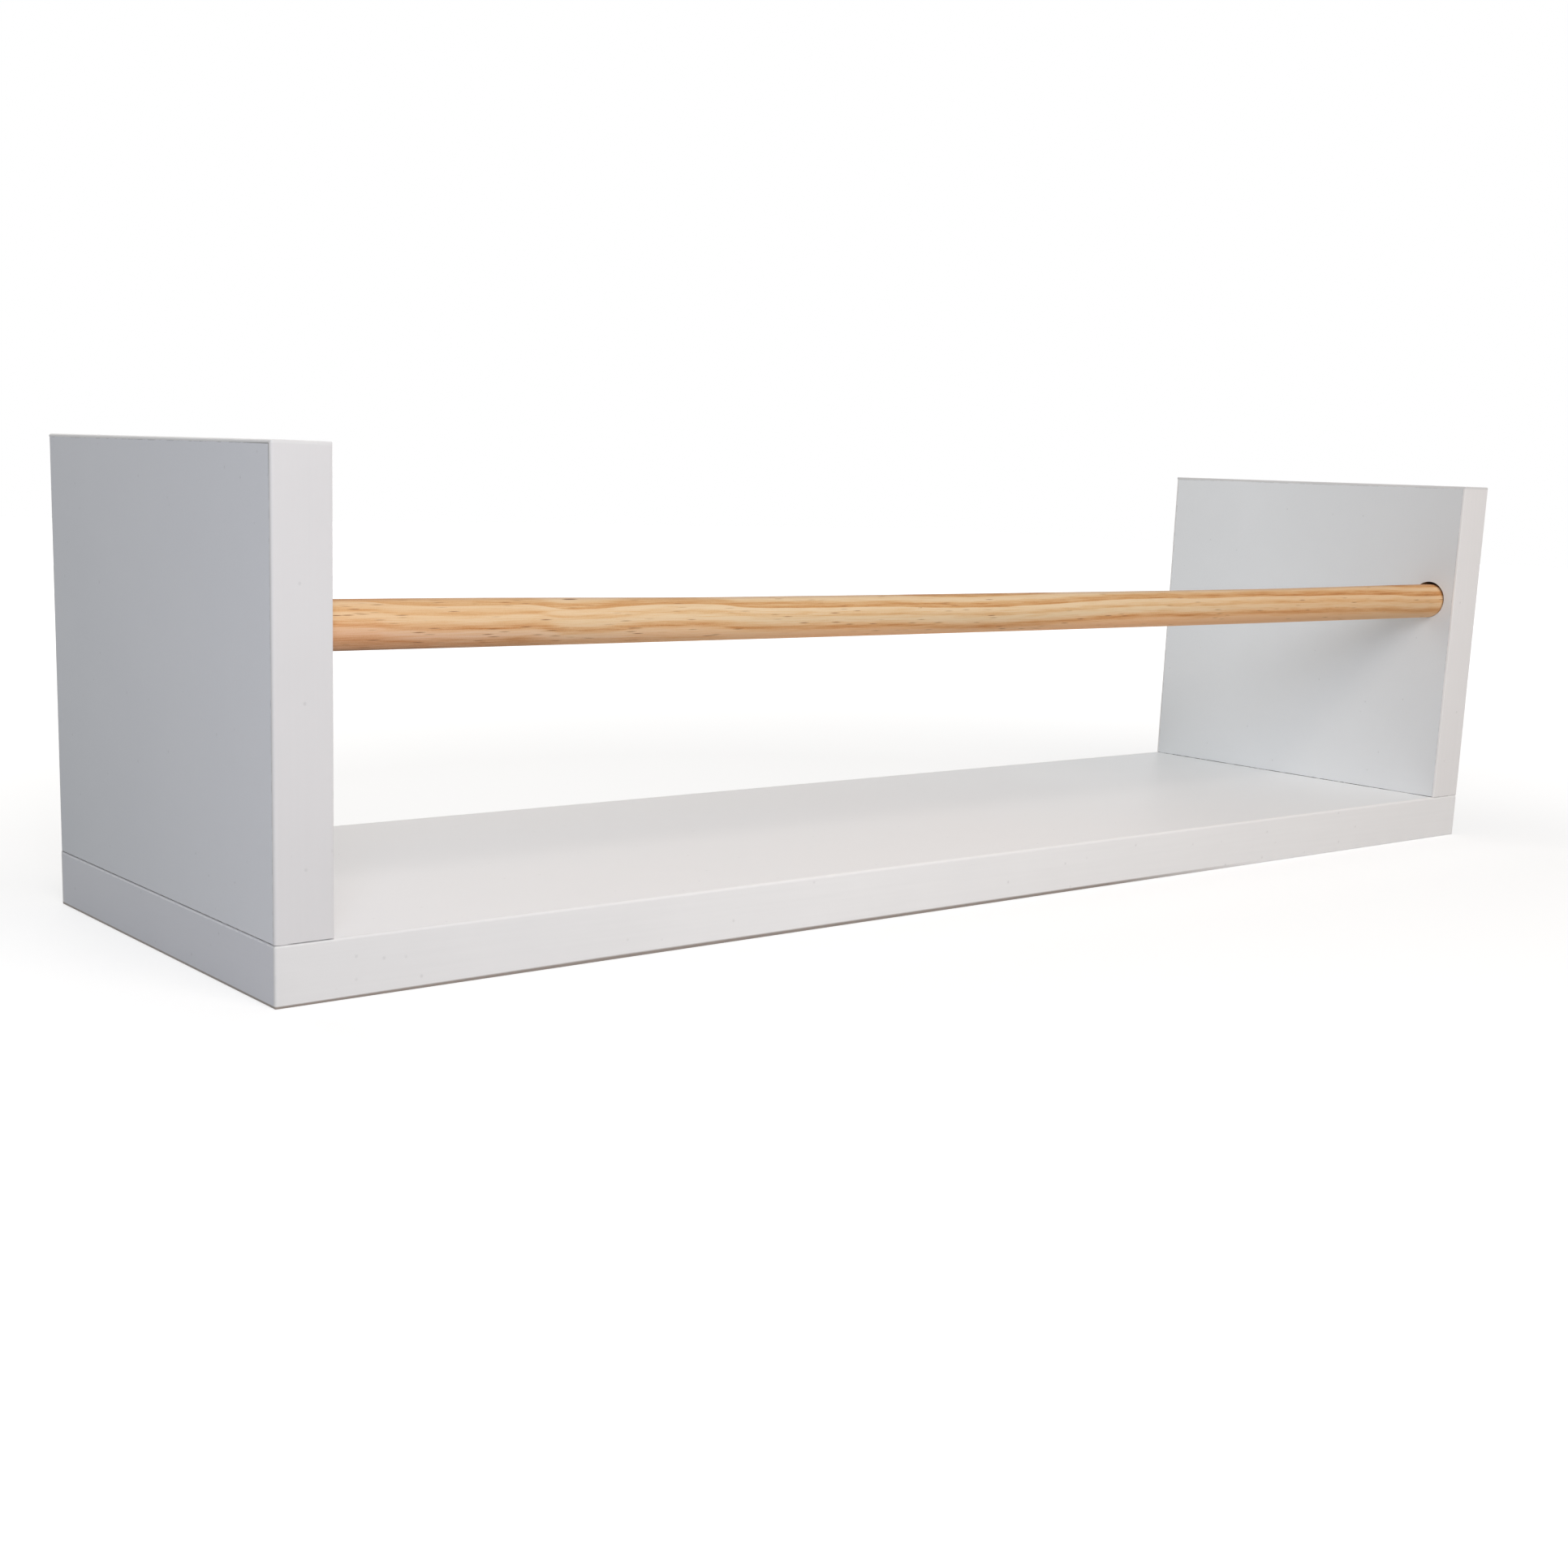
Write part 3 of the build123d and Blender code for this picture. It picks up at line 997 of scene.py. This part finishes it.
# Where the clearest growth ring lies: mm along the rod from its middle, and mm above that
clear_ring = [
    (-234, 5.7), (-213, 5.4), (-207, 4.75), (-187, 4.0), (-170, 4.1), (-155, 2.65),
    (-140, 3.1), (-126, 3.5), (-112, 3.3), (-97, 2.25), (-50, 1.9), (-12, 1.05),
    (10, 1.3), (32, 2.1), (65, 2.7), (90, 2.45), (115, 2.8), (145, 2.65), (175, 2.6),
    (195, 2.35), (212, 1.85), (234, 1.9),
]
# How dark the wood is, from 0 for spring wood to 1 for autumn wood, by mm below that ring
ring_profile = [
    (-8.0, 0.5), (-4.2, 0.65), (-3.4, 0.95), (-3.15, 0.3), (-2.8, 0.05), (-2.2, 0.05),
    (-1.8, 0.35), (-1.3, 0.8), (-0.04, 0.98), (0.06, 0.05), (0.8, 0.05), (1.3, 0.3),
    (2.0, 0.58), (2.3, 0.5), (2.6, 0.15), (3.5, 0.05), (4.2, 0.3), (5.1, 0.8),
    (5.6, 0.75), (6.0, 0.35), (6.4, 0.08), (6.9, 0.1), (7.7, 0.42), (8.6, 0.72),
    (11.0, 0.68),
]
profile_reach = 11.0
darkest = 1.4  # where all that darkens the wood adds up

# Where along the rod each of these begins and where it is full, in mm from its middle
heart_fades = (-200.0, -110.0)
underside_light_starts = (-170.0, -70.0)
underside_light_fades = (60.0, 190.0)
amber_right = (60.0, 150.0)
amber_left = (-120.0, -224.0)
underside_shade_left = (-150.0, -224.0)
low_ring_pales = (-170.0, -70.0)
high_wood_pales = (-140.0, -170.0)
flecks_thin_out = (-234.0, 60.0)

# Where across the rod: mm below the clearest ring, and how far its surface faces up
deep_wood = (3.5, 7.5)
low_ring = (6.4, 8.6)
high_wood = (0.0, -0.1)
facing_up = (0.92, 0.99)
facing_down = (-0.85, -0.97)

flecks_per_mm = (0.19, 2.6, 2.6)
left_out = (0.8, 0.93)  # share of the flecks that don't show, at the left and further right
pitch_streak = (-155.0, 5.25)  # mm along the rod and above its middle line
pitch_size = (2.6, 0.14)  # half its length and half its height, in mm


def ring_height(tree, along):
    """How high the clearest growth ring lies at each point along the rod, in mm."""
    half_length = clear_ring[-1][0]
    highest = rail_radius / MM
    curve = put(tree, "FloatCurve", {"Value": spread(tree, along, -half_length, half_length)})
    line = curve.mapping.curves[0]
    for position, height in clear_ring:
        point = ((position + half_length) / (2 * half_length), height / highest)
        if abs(position) == half_length:
            line.points[0 if position < 0 else -1].location = point
        else:
            line.points.new(*point)
    curve.mapping.update()
    return times(tree, curve.outputs[0], highest)


def autumn_wood(tree, rings, in_mm, along, below):
    """How dark the wood is, by its place below the clearest ring and by its fine grain."""
    whole_reach = 2 * profile_reach
    stops = [
        ((depth + profile_reach) / whole_reach, (late, late, late, 1)) for depth, late in ring_profile
    ]
    rings_here = colour_ramp(tree, spread(tree, below, -profile_reach, profile_reach), stops)
    dark = put(tree, "SeparateColor", {0: rings_here}).outputs[0]

    # The lowest ring pales to the right, and the wood above the clearest one to the left
    low_pales = spread(tree, along, *low_ring_pales, 0.0, 0.7)
    high_pales = spread(tree, along, *high_wood_pales, 0.0, 0.28)
    for paler in (
        times(tree, spread(tree, below, *low_ring), low_pales),
        times(tree, spread(tree, below, *high_wood), high_pales),
    ):
        dark = work_out(tree, "SUBTRACT", dark, paler)
    for texture, span, amount in (
        (rings["Grain"], most_noise, 0.2),
        (rings["Fibre"], much_noise, 0.2),
        (clouds(tree, in_mm, pores_per_mm, 3.0), most_noise, 0.1),
    ):
        dark = work_out(tree, "ADD", dark, spread(tree, texture, *span, -amount, amount))
    return dark


def tinted(tree, wood, along, below):
    """The wood with its slower changes of colour along the rod and below the rings, with painted
    light on its lower side and painted shade on its top and under its left part.
    """
    deep = spread(tree, below, *deep_wood)
    lit_below = times(tree, deep, spread(tree, along, *underside_light_fades, 1.0, 0.3))
    up = split(tree, put(tree, "TexCoord").outputs["Normal"])[2]
    underneath = spread(tree, up, *facing_down)
    tints = [
        (times(tree, deep, spread(tree, along, *heart_fades, 1.0, 0.0)), heart_tint),
        # Painted light on the lower side in the middle of the rod
        (times(tree, lit_below, spread(tree, along, *underside_light_starts)), underside_light_tint),
        (spread(tree, along, *amber_right, 0.0, 0.62), amber_tint),
        (spread(tree, along, *amber_left, 0.0, 0.6), amber_tint),
        # Painted shade where the rod faces up
        (spread(tree, up, *facing_up), top_shade_tint),
        # Painted shade under the rod's left part
        (times(tree, underneath, spread(tree, along, *underside_shade_left)), underside_shade_tint),
    ]
    for share, tint in tints:
        wood = blend_colour(tree, share, wood, tint, "MULTIPLY")
    return wood


def resin_canals(tree, in_mm, along):
    """Short dark flecks along the grain, fewer of them towards the right."""
    canal = put(tree, "TexVoronoi", {"Vector": scaled(tree, in_mm, flecks_per_mm), "Scale": 1.0})
    chance = put(tree, "TexWhiteNoise", {"Vector": canal.outputs["Position"]}).outputs["Value"]
    hidden = spread(tree, along, *flecks_thin_out, *left_out)
    chosen = spread(tree, chance, hidden, work_out(tree, "ADD", hidden, 0.06), 0.0, 0.95)
    return times(tree, chosen, spread(tree, canal.outputs["Distance"], 0.12, 0.42, 1.0, 0.0))


def streak_of_pitch(tree, across):
    """One thin dark streak, high on the front of the rod."""
    off_along, off_up = (
        work_out(tree, "DIVIDE", work_out(tree, "SUBTRACT", across[axis], place), size)
        for axis, place, size in zip((0, 2), pitch_streak, pitch_size)
    )
    in_front = work_out(tree, "LESS_THAN", across[1], 0.0)
    return times(tree, spread(tree, distance(tree, off_along, off_up), 0.5, 1.1, 0.85, 0.0), in_front)


def pine_finish():
    """Long rings that lie almost level, short resin canals and one streak of pitch."""
    finish, tree, shader, place = start_finish("sanded_pine", IOR=1.45, Specular_IOR_Level=0.2)
    in_mm = in_millimetres(tree, place, moved=-rail_middle / MM)
    across = split(tree, in_mm)
    along = across[0]
    rings = rings_round(tree, in_mm, pine_pith, pine_sway)
    lower = work_out(tree, "SUBTRACT", rings["Depth"], pine_pith[1])
    below = work_out(tree, "ADD", lower, ring_height(tree, along))

    dark = spread(tree, autumn_wood(tree, rings, in_mm, along, below), 0.0, darkest)
    wood = colour_ramp(
        tree, dark, [(0.0, pine_early), (0.36, pine_middle), (0.71, pine_late), (1.0, pine_deep)]
    )
    wood = tinted(tree, wood, along, below)
    wood = blend_colour(tree, resin_canals(tree, in_mm, along), wood, pine_fleck)
    wood = blend_colour(tree, streak_of_pitch(tree, across), wood, pine_pitch)
    roughness = spread(tree, rings["Fibre"], *most_noise, *pine_rough)
    finish_off(tree, shader, wood, roughness, rings["Fibre"], pine_relief)
    return finish


def eased(value, start, end):
    """0 at start and 1 at end, with a gentle slope between."""
    share = min(1.0, max(0.0, (value - start) / (end - start)))
    return share * share * (3 - 2 * share)


def rail_rod():
    """The rod along X, its end rims sanded round, with the slight waver of a sanded rod."""
    bm = rounded_rod(rail_radius, rail_length, rail_sides, rail_end_round, 4)
    long_edges = [edge for edge in bm.edges if edge.calc_length() > rail_length / 2]
    bmesh.ops.subdivide_edges(bm, edges=long_edges, cuts=rail_cuts, use_grid_fill=True)
    for vert in bm.verts:
        spot = Vector([place / length for place, length in zip(vert.co, rail_waver_lengths)])
        shrink = 1 - rail_waver * (0.5 + 0.5 * noise.noise(spot))
        vert.co.x *= shrink
        vert.co.y *= shrink
    bmesh.ops.rotate(bm, matrix=Matrix.Rotation(math.radians(90), 3, "Y"), verts=bm.verts)
    for vert in bm.verts:
        upper = max(0.0, vert.co.z / rail_radius)
        vert.co.z -= rail_thinner * eased(vert.co.x, *thin_from) * eased(vert.co.x, *thin_to) * upper
        vert.co.z -= rail_bow * (1 - (2 * vert.co.x / rail_length) ** 2)
    bmesh.ops.translate(bm, vec=rail_middle, verts=bm.verts)
    return bm


settle(rail_rod(), "pine_rail_rod", pine_finish(), "rail", "pine", "dowel_rail")


# ---- Floor and background ----
# A plain white floor that runs out into a white background and holds the shelf's shadow.
# It glows only where it is looked at, so that it is white but throws no light back up.

floor_size = 6.0
floor_grey = (0.5, 0.5, 0.5, 1)  # under its glow
floor_gap = 0.02 * MM
glow_near = 0.6  # it grows to 1 between these distances from the shelf's middle
glow_reach = (0.25, 0.85)


def seen_directly(tree):
    """1 for what the camera, a reflection or a clear material sees, and 0 for light."""
    path = put(tree, "LightPath").outputs
    seen = work_out(tree, "MAXIMUM", path["Is Camera Ray"], path["Is Glossy Ray"])
    return work_out(tree, "MAXIMUM", seen, path["Is Transmission Ray"])


def lay_floor():
    """The floor's sheet, its glow added to what light falls on it."""
    bm = bmesh.new()
    bmesh.ops.create_grid(bm, x_segments=1, y_segments=1, size=floor_size / 2)
    bmesh.ops.translate(bm, vec=(0, 0, -floor_gap), verts=bm.verts)
    floor = into_object(bm, "floor")
    finish, tree, shader, place = start_finish(
        "white_floor", Base_Color=floor_grey, Roughness=1.0, Specular_IOR_Level=0.0
    )
    away = put(tree, "VectorMath", {0: place}, operation="LENGTH").outputs["Value"]
    glow = spread(tree, away, *glow_reach, glow_near, 1.0)
    light = put(tree, "Emission", {"Strength": times(tree, glow, seen_directly(tree))})
    both = put(tree, "AddShader", {0: shader.outputs[0], 1: light.outputs[0]})
    tree.links.new(both.outputs[0], tree.nodes["Material Output"].inputs["Surface"])
    floor.data.materials.append(finish)


lay_floor()


# ---- Light ----
# Even light from all round and one long soft lamp in front of the shelf and above it. A
# weak cool lamp stands close to the left end, and a weak one behind lights the right end.

room_light = (1.0, 0.985, 0.975, 1)
room_light_level = 0.354
lamp_target = Vector((0.0, 0.0, 0.06))


def light_room():
    """The light from all round, and the white background that is seen instead of it."""
    world = bpy.data.worlds.new("room_light")
    scene.world = world
    world.use_nodes = True
    tree = world.node_tree
    sky = tree.nodes["Background"]
    sky.inputs["Color"].default_value = room_light
    sky.inputs["Strength"].default_value = room_light_level
    backdrop = put(tree, "Background", {"Color": (1, 1, 1, 1), "Strength": 1.0})
    inputs = {0: seen_directly(tree), 1: sky.outputs[0], 2: backdrop.outputs[0]}
    either = put(tree, "MixShader", inputs)
    tree.links.new(either.outputs[0], tree.nodes["World Output"].inputs["Surface"])


def hang_lamp(name, place, size, power, colour):
    """A soft oval lamp that faces the shelf."""
    light = bpy.data.lights.new(name, "AREA")
    light.shape = "ELLIPSE"
    light.size, light.size_y = size
    light.energy = power
    light.color = colour
    lamp = add_object(name, light)
    lamp.location = place
    lamp.rotation_euler = (lamp_target - lamp.location).to_track_quat("-Z", "Y").to_euler()


light_room()
# Each lamp's place, its length and width, its power in watts and its colour
lamps = {
    "front_lamp": ((-0.2, -0.85, 0.66), (1.1, 0.6), 5.91, (1.0, 0.93, 0.865)),
    "left_lamp": ((-0.5, -0.6, 0.35), (0.3, 0.3), 1.12, (0.68, 0.82, 1.0)),
    "back_lamp": ((-0.15, 0.5, 0.55), (0.5, 0.5), 0.88, (1.0, 1.0, 0.95)),
}
for lamp_name, settings in lamps.items():
    hang_lamp(lamp_name, *settings)


# ---- Camera ----
# It stands off the left front corner of the shelf, just under the top of its ends, and
# looks a little down along the ledge. Its lens is shifted to the side and up.

camera_place = (-0.44153, -0.47941, 0.12541)
camera_tilt = 78.8686  # degrees, 90 for a level look
camera_roll = -2.0143
camera_heading = -38.7472
camera_lens = 46.53  # in mm, like its sensor's width
sensor_width = 36.0
lens_shift = (0.0285, 0.0528)  # shares of the picture's width
nearest_seen = 0.01

camera_data = bpy.data.cameras.new("camera")
camera_data.lens = camera_lens
camera_data.sensor_width = sensor_width
camera_data.shift_x, camera_data.shift_y = lens_shift
camera_data.clip_start = nearest_seen
camera = add_object("camera", camera_data)
camera.location = camera_place
camera_angles = (camera_tilt, camera_roll, camera_heading)
camera.rotation_euler = [math.radians(angle) for angle in camera_angles]
scene.camera = camera
scene.view_settings.view_transform = "Standard"
